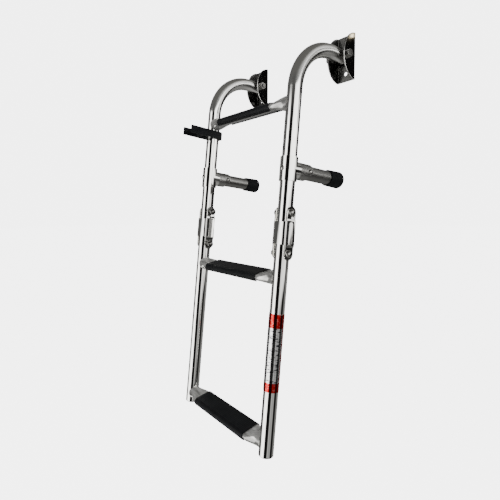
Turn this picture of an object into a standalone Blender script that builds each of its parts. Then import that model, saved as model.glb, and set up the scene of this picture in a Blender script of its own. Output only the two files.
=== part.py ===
"""Folding boat boarding ladder with three steps, for Blender 4.5. Metres, +Z up.

+Y points at the boat and +X along the steps. The origin lies on the plane that the two mounting
brackets are screwed to, midway between them, at the height of their swing bolts.

Everything that swings is parented to an empty on the swing bolts' axis, turned by the rails' lean,
so the ladder itself is drawn upright in that empty's frame: rails along Z, steps along X.
"""

import math

import bmesh
import bpy
from mathutils import Matrix, Vector

# Driving dimensions
RAIL_SPACING = 0.240  # between the rails' centre lines
TUBE_RADIUS = 0.0127
TUBE_WALL = 0.0015
LEAN = math.radians(5.8)  # of the rails from the vertical, feet away from the boat
GAP = 0.0003  # between pieces that touch or fit

# Hook and rails, in the swing frame
HOOK_REACH = 0.1065  # from the swing bolt forward to the rails' axis
HOOK_RADIUS = 0.088
HOOK_END_RADIUS = 0.0132  # of the tube's rounded end, about the swing bolt
UPPER_PIVOT_Z = -0.2965
LINK_LENGTH = 0.068  # between a link's two pivots
PIVOT_BACK = 0.0015  # of the pivots behind the rails' axis
RAIL_END = 0.0305  # from a pivot to its rail's end, short enough for both rails to swing past
RAIL_FOOT_Z = -0.699

# Steps, as heights of the step tubes' centres in the swing frame
TOP_STEP_Z = -0.1115
MIDDLE_STEP_Z = -0.406
BOTTOM_STEP_Z = -0.680
STEP_TILT = math.radians(16)  # raises the treads' rear edge
STEP_WIDTH = 0.0386
STEP_THICKNESS = 0.0115
STEP_WALL = 0.0015
STEP_FLAT_X = 0.082  # the tube is flattened out to here on both sides of the middle
STEP_ROUND_X = 0.106  # and as round as it was from here
STEP_END_FROM_AXIS = 0.006  # its end wraps round the rail to here
TREAD_LENGTH = 0.156
TREAD_SHEET = 0.0016
TREAD_WRAP = math.radians(70)  # below the level, how far the tread turns round both edges

# Brackets
BRACKET_HEIGHT = 0.083
BRACKET_DEPTH = 0.032
BRACKET_SHEET = 0.0025
BRACKET_INSIDE = 0.034
BOLT_FROM_BACK = 0.020
BRACKET_SCREW_Z = 0.027
BRACKET_SCREW_RADIUS = 0.0035

# Fasteners
BOLT_RADIUS = 0.004
HEX_FLATS = 0.013
HEX_HEAD_HEIGHT = 0.0053
NUT_HEIGHT = 0.0065
BOLT_PAST_NUT = 0.0025
BUSH_RADIUS = 0.008
DOME_RADIUS = 0.0065
DOME_HEIGHT = 0.0048
CAP_NUT_SKIRT = 0.005
PIVOT_THREAD = 0.0045  # of a pivot bolt inside its nut

# Hinge links
LINK_SHEET = 0.002
LINK_EAR_RADIUS = 0.0105
SADDLE_HEIGHT = 0.037  # of the front, low enough for the folded rails to clear it
SADDLE_FLARE = 0.005  # by which it widens towards the ears, above and below
LINK_CORNER = 0.007  # outer radius of the saddle's corners

# Tee fittings and stand-offs
TEE_Z = -0.224
TEE_WALL = 0.0019
TEE_HEIGHT = 0.040
TEE_SOCKET_END = 0.036  # behind the rails' axis
TEE_BOLT_Y = 0.038
TEE_LOBE_RADIUS = 0.0068
STANDOFF_START = 0.0137
STANDOFF_END = 0.124
CAP_RADIUS = 0.0155
CAP_LENGTH = 0.033
CAP_END_WALL = 0.005
CAP_CORNER = 0.003
CAP_TAPER = 0.0008
TEE_FASTENER_RADIUS = 0.0025
TEE_SCREW_HEAD_RADIUS = 0.0043
TEE_SCREW_HEAD_HEIGHT = 0.0026
TEE_BOLT_HEAD_RADIUS = 0.0045
TEE_BOLT_HEAD_HEIGHT = 0.003
TEE_NUT_RADIUS = 0.0046
TEE_NUT_HEIGHT = 0.004
TEE_BOLT_PAST_NUT = 0.0015

# Folding clip, on the left rail
CLIP_Z = -0.134
CLIP_HEIGHT = 0.015
CLIP_HALF_WIDTH = 0.0175
CLIP_BACK = 0.0160
CLIP_CHAMFER = 0.007
CLIP_RIB = 0.003
CLIP_TIP = 0.062  # in front of the rails' axis
CLIP_SLOT_Y = 0.0465  # of the folded rail's centre in front of the rails' axis
CLIP_SLOT_RADIUS = 0.0134
CLIP_WINDOW_REACH = 0.010  # from the middle rib to a window's outer side

# Foot plugs
PLUG_DEPTH = 0.012
PLUG_INSET = 0.0004  # of the rim inside the tube's outer face
PLUG_RIM = 0.0012
PLUG_FACE_RADIUS = 0.009
PLUG_HEIGHT = 0.0022  # below the tube's end

# Label on the right lower rail
LABEL_TOP_Z = -0.464
LABEL_BOTTOM_Z = -0.592
LABEL_FILM = 0.0003
LABEL_ARC = math.radians(250)

# Derived places
SIDES = {"left": -1, "right": 1}
RAIL_X = RAIL_SPACING / 2
LOWER_PIVOT_Z = UPPER_PIVOT_Z - LINK_LENGTH
BRACKET_OUTSIDE = BRACKET_INSIDE + 2 * BRACKET_SHEET
LINK_INSIDE = 2 * (TUBE_RADIUS + GAP)
LINK_OUTSIDE = LINK_INSIDE + 2 * LINK_SHEET
TEE_RADIUS = TUBE_RADIUS + GAP + TEE_WALL

STEP_ROUND_TURN = math.radians(82)  # of a round end's arcs, which leaves a short flat between them
STEP_BLEND = 4  # rings between flat and round

TUBE_SIDES = 32
BEND_STEPS = 14
HOLE_SIDES = 20
CUT_LENGTH = 0.2  # of cutters that go right through
HALF_CUT = CUT_LENGTH / 2
TRIM = 0.03  # half width of the blocks that trim an end


def new_collection(name):
    """An empty collection in the scene."""
    made = bpy.data.collections.new(name)
    bpy.context.scene.collection.children.link(made)
    return made


def clear_scene():
    """Removes what the scene holds."""
    for obj in list(bpy.data.objects):
        bpy.data.objects.remove(obj, do_unlink=True)


clear_scene()
LADDER = new_collection("boat_boarding_ladder")
CUTTERS = new_collection("cutters")


def make_material(name, colour, roughness, metallic):
    """A plain Principled material."""
    material = bpy.data.materials.new(name)
    material.use_nodes = True
    shader = material.node_tree.nodes["Principled BSDF"]
    shader.inputs["Base Color"].default_value = (*colour, 1.0)
    shader.inputs["Roughness"].default_value = roughness
    shader.inputs["Metallic"].default_value = metallic
    return material


STEEL = make_material("polished_stainless", (0.72, 0.72, 0.70), 0.08, 1.0)
PLASTIC = make_material("black_plastic", (0.02, 0.021, 0.023), 0.45, 0.0)
RUBBER = make_material("black_rubber", (0.015, 0.015, 0.016), 0.7, 0.0)
LABEL_RED = make_material("label_film", (0.75, 0.06, 0.04), 0.3, 0.0)


def make_frame(name, parent=None, location=(0, 0, 0), lean=0.0):
    """An empty that carries the pieces of one moving body."""
    frame = bpy.data.objects.new(name, None)
    LADDER.objects.link(frame)
    frame.parent = parent
    frame.location = location
    frame.rotation_euler.x = lean
    return frame


def place(obj, frame, location=(0, 0, 0), tilt=0.0):
    """Puts an object in a frame. tilt turns it about X."""
    obj.parent = frame
    obj.location = location
    obj.rotation_euler.x = tilt
    return obj


def shade(obj, material):
    """Gives a mesh its material, with round faces smooth."""
    obj.data.materials.clear()
    obj.data.materials.append(material)
    obj.data.shade_smooth()
    obj.data.set_sharp_from_angle(angle=math.radians(30))


def add_mesh(name, mesh, material=None):
    """An object of the ladder with a material, or a hidden cutter without one."""
    obj = bpy.data.objects.new(name, mesh)
    if material is None:
        CUTTERS.objects.link(obj)
        obj.hide_render = True
        obj.display_type = "WIRE"
    else:
        LADDER.objects.link(obj)
        shade(obj, material)
    return obj


def add_bmesh(name, bm, material=None):
    """add_mesh, from a bmesh that is then freed."""
    mesh = bpy.data.meshes.new(name)
    bmesh.ops.recalc_face_normals(bm, faces=bm.faces)
    bm.to_mesh(mesh)
    bm.free()
    return add_mesh(name, mesh, material)


def mesh_from_curve(name, curve):
    """The mesh that Blender makes of a curve, with the curve removed."""
    obj = bpy.data.objects.new(name, curve)
    CUTTERS.objects.link(obj)
    evaluated = obj.evaluated_get(bpy.context.evaluated_depsgraph_get())
    mesh = bpy.data.meshes.new_from_object(evaluated)
    bpy.data.objects.remove(obj, do_unlink=True)
    bpy.data.curves.remove(curve)
    bm = bmesh.new()
    bm.from_mesh(mesh)
    bmesh.ops.remove_doubles(bm, verts=bm.verts, dist=1e-6)
    bmesh.ops.recalc_face_normals(bm, faces=bm.faces)
    bm.to_mesh(mesh)
    bm.free()
    return mesh


def poly_curve(name, points, dimensions, cyclic=False):
    """Curve data with one straight-sided spline."""
    curve = bpy.data.curves.new(name, "CURVE")
    curve.dimensions = dimensions
    spline = curve.splines.new("POLY")
    spline.points.add(len(points) - 1)
    for target, point in zip(spline.points, points):
        target.co = (*point, *([0.0] * (3 - len(point))), 1.0)
    spline.use_cyclic_u = cyclic
    return curve


def hollow(obj, wall):
    """Thickens an open surface inwards into a closed wall."""
    modifier = obj.modifiers.new("wall", "SOLIDIFY")
    modifier.thickness = wall
    modifier.offset = -1.0
    modifier.use_rim = True
    modifier.use_even_offset = True
    return obj


def tube(name, points, radius, wall, material, sides=TUBE_SIDES):
    """A hollow round tube along a path."""
    curve = poly_curve(name, points, "3D")
    curve.bevel_depth = radius
    curve.bevel_resolution = (sides - 4) // 2
    return hollow(add_mesh(name, mesh_from_curve(name, curve), material), wall)


def along_x(name, outline, length, material=None, open_sheet=False):
    """A flat (y, z) outline drawn out along X. An open sheet is a surface with no ends."""
    curve = poly_curve(name, outline, "2D", cyclic=not open_sheet)
    curve.fill_mode = "NONE" if open_sheet else "BOTH"
    curve.extrude = length / 2
    mesh = mesh_from_curve(name, curve)
    mesh.transform(Matrix(((0, 0, 1, 0), (1, 0, 0, 0), (0, 1, 0, 0), (0, 0, 0, 1))))
    return add_mesh(name, mesh, material)


def along_z(name, outline, height, material=None, open_sheet=False):
    """A flat (x, y) outline drawn out along Z. An open sheet is a surface with no ends."""
    curve = poly_curve(name, outline, "2D", cyclic=not open_sheet)
    curve.fill_mode = "NONE" if open_sheet else "BOTH"
    curve.extrude = height / 2
    return add_mesh(name, mesh_from_curve(name, curve), material)


AXIS_TURNS = {
    "X": Matrix.Rotation(math.pi / 2, 4, "Y"),
    "Y": Matrix.Rotation(-math.pi / 2, 4, "X"),
    "Z": Matrix.Identity(4),
}


def rod(name, radius, length, axis, centre=(0, 0, 0), sides=HOLE_SIDES, material=None):
    """A solid cylinder or prism on an axis."""
    bm = bmesh.new()
    bmesh.ops.create_cone(
        bm,
        cap_ends=True,
        segments=sides,
        radius1=radius,
        radius2=radius,
        depth=length,
        matrix=Matrix.Translation(centre) @ AXIS_TURNS[axis],
    )
    return add_bmesh(name, bm, material)


def block(name, low, high, material=None):
    """A box between two corners."""
    low, high = Vector(low), Vector(high)
    bm = bmesh.new()
    size = Matrix.Diagonal((*(high - low), 1.0))
    bmesh.ops.create_cube(bm, size=1.0, matrix=Matrix.Translation((low + high) / 2) @ size)
    return add_bmesh(name, bm, material)


def turned(name, profile, axis, material=None, steps=24):
    """A solid of revolution. The profile lists (radius, height) from top to bottom, outer side."""
    mesh = bpy.data.meshes.new(name)
    points = [AXIS_TURNS[axis] @ Vector((radius, 0, height)) for radius, height in profile]
    edges = [(i, i + 1) for i in range(len(points) - 1)]
    mesh.from_pydata(points, edges, [])
    obj = add_mesh(name, mesh, material)
    screw = obj.modifiers.new("turn", "SCREW")
    screw.axis = axis
    screw.steps = steps
    screw.render_steps = steps
    screw.use_merge_vertices = True
    screw.merge_threshold = 1e-6
    return obj


def boolean(obj, other, operation):
    """Cuts other from obj, or joins it, both being in the same frame."""
    modifier = obj.modifiers.new(other.name, "BOOLEAN")
    modifier.operation = operation
    modifier.object = other
    return obj


def cut(obj, cutter):
    """Cuts a hidden cutter from an object, after moving the cutter into the object's frame."""
    cutter.parent = obj.parent
    return boolean(obj, cutter, "DIFFERENCE")


def join(obj, other):
    """Joins a hidden shape to an object in the same frame."""
    other.parent = obj.parent
    return boolean(obj, other, "UNION")


def arc(centre, radius, start, end, steps):
    """Points of an arc in a plane, with angles in radians."""
    turns = [start + (end - start) * i / steps for i in range(steps + 1)]
    return [
        (centre[0] + radius * math.cos(turn), centre[1] + radius * math.sin(turn))
        for turn in turns
    ]


def outline_round(discs, steps=24):
    """The outline of a sheet stretched round discs, each (y, z, radius)."""
    points = []
    for y, z, radius in discs:
        around = arc((y, z), radius, 0, 2 * math.pi, steps)[:-1] if radius else [(y, z)]
        points += [(round(a, 7), round(b, 7)) for a, b in around]
    points = sorted(set(points))

    def chain(candidates):
        kept = []
        for p in candidates:
            while len(kept) > 1 and cross(kept[-2], kept[-1], p) <= 1e-10:
                kept.pop()
            kept.append(p)
        return kept[:-1]

    return chain(points) + chain(points[::-1])


def cross(a, b, c):
    """Twice the signed area of the triangle a, b, c."""
    return (b[0] - a[0]) * (c[1] - a[1]) - (b[1] - a[1]) * (c[0] - a[0])


def make_bracket(side, frame):
    """A folded steel channel: a back plate, and two half-oval ears that hold the swing bolt."""
    round_ear = arc((0, 0), 1, math.pi / 2, 3 * math.pi / 2, 32)
    outline = [(BRACKET_DEPTH * y, BRACKET_HEIGHT / 2 * z) for y, z in round_ear]
    bracket = along_x(f"{side}_bracket", outline, BRACKET_OUTSIDE, STEEL)
    place(bracket, frame)
    half = BRACKET_INSIDE / 2
    low, high = (-half, -HALF_CUT, -HALF_CUT), (half, -BRACKET_SHEET, HALF_CUT)
    cut(bracket, block(f"{side}_bracket_channel", low, high))
    hole = BOLT_RADIUS + GAP
    centre = (0, -BOLT_FROM_BACK, 0)
    cut(bracket, rod(f"{side}_bracket_bolt_hole", hole, CUT_LENGTH, "X", centre))
    for name, z in (("upper", BRACKET_SCREW_Z), ("lower", -BRACKET_SCREW_Z)):
        cutter = f"{side}_bracket_{name}_screw_hole"
        cut(bracket, rod(cutter, BRACKET_SCREW_RADIUS, CUT_LENGTH, "Y", (0, 0, z)))
    return bracket


def make_hex_bolt(name, frame, location, outward, grip):
    """A hex bolt along X whose head is on the outward side of a grip of that width."""
    shank = grip + GAP + NUT_HEIGHT + BOLT_PAST_NUT
    start = outward * (grip / 2 + GAP)
    bolt = rod(name, BOLT_RADIUS, shank, "X", (start - outward * shank / 2, 0, 0), material=STEEL)
    place(bolt, frame, location)
    head = rod(
        f"{name}_head",
        HEX_FLATS / math.sqrt(3),
        HEX_HEAD_HEIGHT,
        "X",
        (start + outward * HEX_HEAD_HEIGHT / 2, 0, 0),
        sides=6,
    )
    place(head, frame, location)
    return join(bolt, head)


def make_nut(name, frame, location, inward, grip):
    """A plain hex nut on the inward end of a bolt."""
    centre = (inward * (grip / 2 + GAP + NUT_HEIGHT / 2), 0, 0)
    nut = rod(name, HEX_FLATS / math.sqrt(3), NUT_HEIGHT, "X", centre, sides=6, material=STEEL)
    place(nut, frame, location)
    bore = rod(f"{name}_bore", BOLT_RADIUS + GAP, CUT_LENGTH, "X")
    place(bore, frame, location)
    return boolean(nut, bore, "DIFFERENCE")


def make_upper_rail(side, frame):
    """A rail tube that runs up from the hinge and hooks over into the bracket."""
    here = (SIDES[side] * RAIL_X, 0, 0)
    centre = (HOOK_RADIUS - HOOK_REACH, -HOOK_RADIUS)
    bend = arc(centre, HOOK_RADIUS, math.pi, math.pi / 2, BEND_STEPS)
    path = [(-HOOK_REACH, UPPER_PIVOT_Z - RAIL_END), *bend, (HOOK_END_RADIUS + 0.001, 0)]
    rail = tube(f"{side}_upper_rail", [(0, y, z) for y, z in path], TUBE_RADIUS, TUBE_WALL, STEEL)
    place(rail, frame, here)
    end = block(f"{side}_hook_end_trim", (-TRIM, 0, -TRIM), (TRIM, TRIM, TRIM))
    kept = rod(f"{side}_hook_end_kept", HOOK_END_RADIUS, CUT_LENGTH, "X", sides=TUBE_SIDES)
    for shape in (end, kept):
        place(shape, frame, here)
    boolean(end, kept, "DIFFERENCE")
    boolean(rail, end, "DIFFERENCE")
    for name, y, z in (("swing", 0, 0), ("pivot", PIVOT_BACK - HOOK_REACH, UPPER_PIVOT_Z)):
        hole = rod(f"{side}_upper_rail_{name}_hole", BOLT_RADIUS + GAP, CUT_LENGTH, "X", (0, y, z))
        place(hole, frame, here)
        boolean(rail, hole, "DIFFERENCE")
    return rail


def make_bush(side, place_name, frame, outward):
    """A spacer on the swing bolt, between the rail and one ear of the bracket."""
    start = TUBE_RADIUS + GAP
    length = BRACKET_INSIDE / 2 - GAP - start
    centre = (outward * (start + length / 2), 0, 0)
    name = f"{side}_{place_name}_bush"
    bush = rod(name, BUSH_RADIUS, length, "X", centre, material=STEEL)
    at = (0, -BOLT_FROM_BACK, 0)
    place(bush, frame, at)
    bore = place(rod(f"{name}_bore", BOLT_RADIUS + GAP, CUT_LENGTH, "X"), frame, at)
    return boolean(bush, bore, "DIFFERENCE")


def make_lower_rail(side, frame):
    """A straight rail tube from the hinge to the foot."""
    here = (SIDES[side] * RAIL_X, 0, 0)
    ends = [(0, -PIVOT_BACK, RAIL_FOOT_Z - LOWER_PIVOT_Z), (0, -PIVOT_BACK, RAIL_END)]
    rail = tube(f"{side}_lower_rail", ends, TUBE_RADIUS, TUBE_WALL, STEEL)
    place(rail, frame, here)
    hole = rod(f"{side}_lower_rail_pivot_hole", BOLT_RADIUS + GAP, CUT_LENGTH, "X")
    place(hole, frame, here)
    return boolean(rail, hole, "DIFFERENCE")


def half_rounds(reach, radius, turn, steps=12):
    """A (y, z) outline of a rear and a front arc, each reaching turn above and below the level."""
    rear = arc((reach, 0), radius, -turn, turn, steps)
    front = arc((-reach, 0), radius, math.pi - turn, math.pi + turn, steps)
    return rear + front


def step_ring(x, share):
    """The step tube's outline at x, from flattened (share 0) to round (share 1)."""
    reach = (STEP_WIDTH - STEP_THICKNESS) / 2
    flat = half_rounds(reach, STEP_THICKNESS / 2, math.pi / 2)
    full = half_rounds(0, TUBE_RADIUS, STEP_ROUND_TURN)
    return [(x, a + (c - a) * share, b + (d - b) * share) for (a, b), (c, d) in zip(flat, full)]


def make_step_tube(name, frame, y, z):
    """A round tube, flattened between its ends, which are notched to wrap round the rails."""
    end = RAIL_X - STEP_END_FROM_AXIS
    half = []
    for i in range(STEP_BLEND + 1):
        part = i / STEP_BLEND
        x = STEP_FLAT_X + (STEP_ROUND_X - STEP_FLAT_X) * part
        half.append((x, part * part * (3 - 2 * part)))
    half.append((end, 1))
    stations = [(-x, share) for x, share in half[::-1]] + half
    rings = [step_ring(x, share) for x, share in stations]
    count = len(rings[0])
    faces = []
    for i in range(len(rings) - 1):
        for j in range(count):
            k = (j + 1) % count
            faces.append((i * count + j, i * count + k, (i + 1) * count + k, (i + 1) * count + j))
    mesh = bpy.data.meshes.new(name)
    mesh.from_pydata([point for ring in rings for point in ring], [], faces)
    step = add_mesh(name, mesh, STEEL)
    place(hollow(step, STEP_WALL), frame, (0, y, z), STEP_TILT)
    for side, sign in SIDES.items():
        notch = rod(f"{name}_{side}_notch", TUBE_RADIUS + GAP, CUT_LENGTH, "Z", sides=TUBE_SIDES)
        place(notch, frame, (sign * RAIL_X, y, z))
        boolean(step, notch, "DIFFERENCE")
    return step


def make_tread(name, frame, y, z):
    """A moulded cover that grips the step tube: a flat top that turns down round both edges."""
    radius = STEP_THICKNESS / 2 + GAP + TREAD_SHEET
    reach = (STEP_WIDTH - STEP_THICKNESS) / 2
    rear = arc((reach, 0), radius, -TREAD_WRAP, math.pi / 2, 12)
    front = arc((-reach, 0), radius, math.pi / 2, math.pi + TREAD_WRAP, 12)
    tread = along_x(name, rear + front, TREAD_LENGTH, PLASTIC, open_sheet=True)
    return place(hollow(tread, TREAD_SHEET), frame, (0, y, z), STEP_TILT)


def make_step(name, frame, y, z):
    """One step: its tube and its tread."""
    make_step_tube(f"{name}_step_tube", frame, y, z)
    make_tread(f"{name}_step_tread", frame, y, z)


def make_foot_plug(side, frame):
    """A plastic plug that closes the foot of a rail."""
    inner = TUBE_RADIUS - TUBE_WALL - GAP
    rim = TUBE_RADIUS - PLUG_INSET
    profile = [
        (0, PLUG_DEPTH),
        (inner, PLUG_DEPTH),
        (inner, -GAP),
        (rim, -GAP),
        (rim, -PLUG_RIM),
        (PLUG_FACE_RADIUS, -PLUG_HEIGHT),
        (0, -PLUG_HEIGHT),
    ]
    plug = turned(f"{side}_foot_plug", profile, "Z", PLASTIC)
    return place(plug, frame, (SIDES[side] * RAIL_X, -PIVOT_BACK, RAIL_FOOT_Z - LOWER_PIVOT_Z))


def make_link(side, frame):
    """A hinge link: a pressed steel channel with a saddle round the front of the rails' ends
    and an ear on both sides at each pivot."""
    here = (SIDES[side] * RAIL_X, 0, 0)
    half = LINK_OUTSIDE / 2
    corner = LINK_CORNER
    rear = 2 * LINK_EAR_RADIUS
    path = [
        (half, rear),
        *arc((half - corner, corner - half), corner, 0, -math.pi / 2, 6),
        *arc((corner - half, corner - half), corner, -math.pi / 2, -math.pi, 6),
        (-half, rear),
    ]
    height = LINK_LENGTH + 3 * LINK_EAR_RADIUS
    middle = -LINK_LENGTH / 2
    link = along_z(f"{side}_hinge_link", path, height, STEEL, open_sheet=True)
    link.data.transform(Matrix.Translation((0, -PIVOT_BACK, middle)))
    place(hollow(link, LINK_SHEET), frame, here)

    ears = outline_round([(0, 0, LINK_EAR_RADIUS), (0, -LINK_LENGTH, LINK_EAR_RADIUS)])
    front = -half - PIVOT_BACK - LINK_SHEET
    knee = -half - PIVOT_BACK + 1.5 * LINK_SHEET
    rise = SADDLE_HEIGHT / 2
    flared = [
        (front, middle - rise),
        (knee, middle - rise),
        (0, middle - rise - SADDLE_FLARE),
        (0, middle + rise + SADDLE_FLARE),
        (knee, middle + rise),
        (front, middle + rise),
    ]
    kept = along_x(f"{side}_link_ears", ears, CUT_LENGTH)
    saddle = along_x(f"{side}_link_saddle", flared, CUT_LENGTH)
    for shape in (kept, saddle):
        place(shape, frame, here)
    boolean(kept, saddle, "UNION")
    boolean(link, kept, "INTERSECT")
    for name, z in (("upper", 0), ("lower", -LINK_LENGTH)):
        hole = rod(f"{side}_link_{name}_hole", BOLT_RADIUS + GAP, CUT_LENGTH, "X", (0, 0, z))
        place(hole, frame, here)
        boolean(link, hole, "DIFFERENCE")
    return link


def dome_profile(radius, height, base):
    """The outer side of a domed head that stands on base, with its middle on the axis."""
    turns = [i * math.pi / 12 for i in range(7)]
    return [(radius * math.sin(turn), base + height * math.cos(turn)) for turn in turns]


def make_pivot_bolt(name, frame, location, outward):
    """A domed bolt through a link, its head on the outward side."""
    grip = LINK_OUTSIDE / 2 + GAP
    end = -(grip + PIVOT_THREAD)
    profile = [
        *dome_profile(DOME_RADIUS, DOME_HEIGHT, grip),
        (BOLT_RADIUS, grip),
        (BOLT_RADIUS, end),
        (0, end),
    ]
    bolt = turned(name, profile, "X", STEEL)
    place(bolt, frame, location)
    bolt.rotation_euler.z = 0 if outward > 0 else math.pi
    return bolt


def make_cap_nut(name, frame, location, inward):
    """A domed nut on the inward end of a pivot bolt."""
    grip = LINK_OUTSIDE / 2 + GAP
    bore_end = grip + PIVOT_THREAD + GAP
    profile = [
        *dome_profile(DOME_RADIUS, DOME_HEIGHT, grip + CAP_NUT_SKIRT),
        (DOME_RADIUS, grip),
        (BOLT_RADIUS + GAP, grip),
        (BOLT_RADIUS + GAP, bore_end),
        (0, bore_end),
    ]
    nut = turned(name, profile, "X", STEEL)
    place(nut, frame, location)
    nut.rotation_euler.z = 0 if inward > 0 else math.pi
    return nut


def make_tee(side, frame):
    """A steel tee: a collar on the rail and a socket behind it that holds the stand-off."""
    here = (SIDES[side] * RAIL_X, -HOOK_REACH, TEE_Z)
    tee = rod(f"{side}_tee_fitting", TEE_RADIUS, TEE_HEIGHT, "Z", sides=TUBE_SIDES, material=STEEL)
    place(tee, frame, here)
    reach = TEE_BOLT_Y + TEE_LOBE_RADIUS
    socket = rod(f"{side}_tee_socket", TEE_RADIUS, reach, "Y", (0, reach / 2, 0), TUBE_SIDES)
    inner = TUBE_RADIUS + GAP
    rail_bore = rod(f"{side}_tee_rail_bore", inner, CUT_LENGTH, "Z", sides=TUBE_SIDES)
    bore = rod(f"{side}_tee_socket_bore", inner, CUT_LENGTH, "Y", (0, HALF_CUT, 0), TUBE_SIDES)
    trim = block(f"{side}_tee_trim", (-TRIM, TEE_SOCKET_END, -TRIM), (TRIM, HALF_CUT, TRIM))
    lobe = rod(f"{side}_tee_lobe", TEE_LOBE_RADIUS, CUT_LENGTH, "X", (0, TEE_BOLT_Y, 0))
    for shape in (socket, rail_bore, bore, trim, lobe):
        place(shape, frame, here)
    boolean(trim, lobe, "DIFFERENCE")
    boolean(tee, socket, "UNION")
    for shape in (rail_bore, bore, trim):
        boolean(tee, shape, "DIFFERENCE")
    hole = TEE_FASTENER_RADIUS + GAP
    bolt_hole = rod(f"{side}_tee_bolt_hole", hole, CUT_LENGTH, "X", (0, TEE_BOLT_Y, 0))
    screw_hole = rod(f"{side}_tee_screw_hole", hole, TEE_RADIUS, "Y", (0, -TEE_RADIUS, 0))
    for shape in (bolt_hole, screw_hole):
        place(shape, frame, here)
        boolean(tee, shape, "DIFFERENCE")
    return tee


def make_standoff(side, frame):
    """The stand-off tube, held in the tee's socket."""
    here = (SIDES[side] * RAIL_X, -HOOK_REACH, TEE_Z)
    ends = [(0, STANDOFF_START, 0), (0, STANDOFF_END, 0)]
    standoff = tube(f"{side}_standoff_tube", ends, TUBE_RADIUS, TUBE_WALL, STEEL)
    place(standoff, frame, here)
    radius = TEE_FASTENER_RADIUS + GAP
    hole = rod(f"{side}_standoff_bolt_hole", radius, CUT_LENGTH, "X", (0, TEE_BOLT_Y, 0))
    place(hole, frame, here)
    return boolean(standoff, hole, "DIFFERENCE")


def make_cap(side, frame):
    """A rubber cap over the end of the stand-off, which rests on the hull."""
    inner = TUBE_RADIUS + GAP
    end = CAP_END_WALL
    mouth = end - CAP_LENGTH
    corner = arc((CAP_RADIUS - CAP_CORNER, end - CAP_CORNER), CAP_CORNER, math.pi / 2, 0, 4)
    profile = [
        (0, end),
        *corner,
        (CAP_RADIUS - CAP_TAPER, mouth),
        (inner, mouth),
        (inner, GAP),
        (0, GAP),
    ]
    cap = turned(f"{side}_standoff_cap", profile, "Y", RUBBER, steps=TUBE_SIDES)
    return place(cap, frame, (SIDES[side] * RAIL_X, -HOOK_REACH + STANDOFF_END, TEE_Z))


def make_tee_screw(side, frame):
    """A round-headed screw in the front of the collar, which fixes it on the rail."""
    head = TEE_RADIUS + GAP
    profile = [
        *dome_profile(TEE_SCREW_HEAD_RADIUS, TEE_SCREW_HEAD_HEIGHT, head),
        (TEE_FASTENER_RADIUS, head),
        (TEE_FASTENER_RADIUS, TUBE_RADIUS + GAP),
        (0, TUBE_RADIUS + GAP),
    ]
    screw = turned(f"{side}_tee_screw", profile, "Y", STEEL)
    place(screw, frame, (SIDES[side] * RAIL_X, -HOOK_REACH, TEE_Z))
    screw.rotation_euler.z = math.pi
    return screw


def make_tee_bolt(side, frame):
    """A round-headed bolt through the socket and the stand-off, and its hex nut."""
    half = TEE_RADIUS + GAP
    end = -half - TEE_NUT_HEIGHT - TEE_BOLT_PAST_NUT
    profile = [
        *dome_profile(TEE_BOLT_HEAD_RADIUS, TEE_BOLT_HEAD_HEIGHT, half),
        (TEE_FASTENER_RADIUS, half),
        (TEE_FASTENER_RADIUS, end),
        (0, end),
    ]
    bolt = turned(f"{side}_tee_bolt", profile, "X", STEEL)
    here = (SIDES[side] * RAIL_X, -HOOK_REACH + TEE_BOLT_Y, TEE_Z)
    place(bolt, frame, here)
    centre = (-half - TEE_NUT_HEIGHT / 2, 0, 0)
    nut = rod(
        f"{side}_tee_nut", TEE_NUT_RADIUS, TEE_NUT_HEIGHT, "X", centre, sides=6, material=STEEL
    )
    place(nut, frame, here)
    bore = rod(f"{side}_tee_nut_bore", TEE_FASTENER_RADIUS + GAP, CUT_LENGTH, "X")
    place(bore, frame, here)
    return boolean(nut, bore, "DIFFERENCE")


def make_clip(frame):
    """The folding clip: a plastic block held on the left rail, with jaws for the folded rail."""
    here = (-RAIL_X, -HOOK_REACH, CLIP_Z)
    half, cham = CLIP_HALF_WIDTH, CLIP_CHAMFER
    outline = [
        (half, -CLIP_TIP),
        (half, CLIP_BACK - cham),
        (half - cham, CLIP_BACK),
        (cham - half, CLIP_BACK),
        (-half, CLIP_BACK - cham),
        (-half, -CLIP_TIP),
    ]
    clip = place(along_z("folding_clip", outline, CLIP_HEIGHT, PLASTIC), frame, here)
    bore = rod("clip_rail_bore", TUBE_RADIUS + GAP, CUT_LENGTH, "Z", sides=TUBE_SIDES)
    seat = rod("clip_jaw_seat", CLIP_SLOT_RADIUS, CUT_LENGTH, "Z", (0, -CLIP_SLOT_Y, 0), TUBE_SIDES)
    slot_low = (-CLIP_SLOT_RADIUS, -HALF_CUT, -TRIM)
    slot = block("clip_jaw_slot", slot_low, (CLIP_SLOT_RADIUS, -CLIP_SLOT_Y, TRIM))
    rear, front = -TUBE_RADIUS - CLIP_RIB, CLIP_SLOT_RADIUS + CLIP_RIB - CLIP_SLOT_Y
    cutters = [bore, seat, slot]
    for name, sign in SIDES.items():
        x = sorted((sign * CLIP_RIB / 2, sign * CLIP_WINDOW_REACH))
        cutters.append(block(f"clip_{name}_window", (x[0], front, -TRIM), (x[1], rear, TRIM)))
    for shape in cutters:
        place(shape, frame, here)
        boolean(clip, shape, "DIFFERENCE")
    return clip


def make_label(frame):
    """A printed film wrapped round the front of the right lower rail."""
    radius = TUBE_RADIUS + GAP + LABEL_FILM
    start = -math.pi / 2 - LABEL_ARC / 2
    outline = arc((0, 0), radius, start, start + LABEL_ARC, 24)
    label = along_z("rail_label", outline, LABEL_TOP_Z - LABEL_BOTTOM_Z, LABEL_RED, open_sheet=True)
    middle = (LABEL_TOP_Z + LABEL_BOTTOM_Z) / 2 - LOWER_PIVOT_Z
    place(label, frame, (RAIL_X, -PIVOT_BACK, middle))
    return hollow(label, LABEL_FILM)


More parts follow.
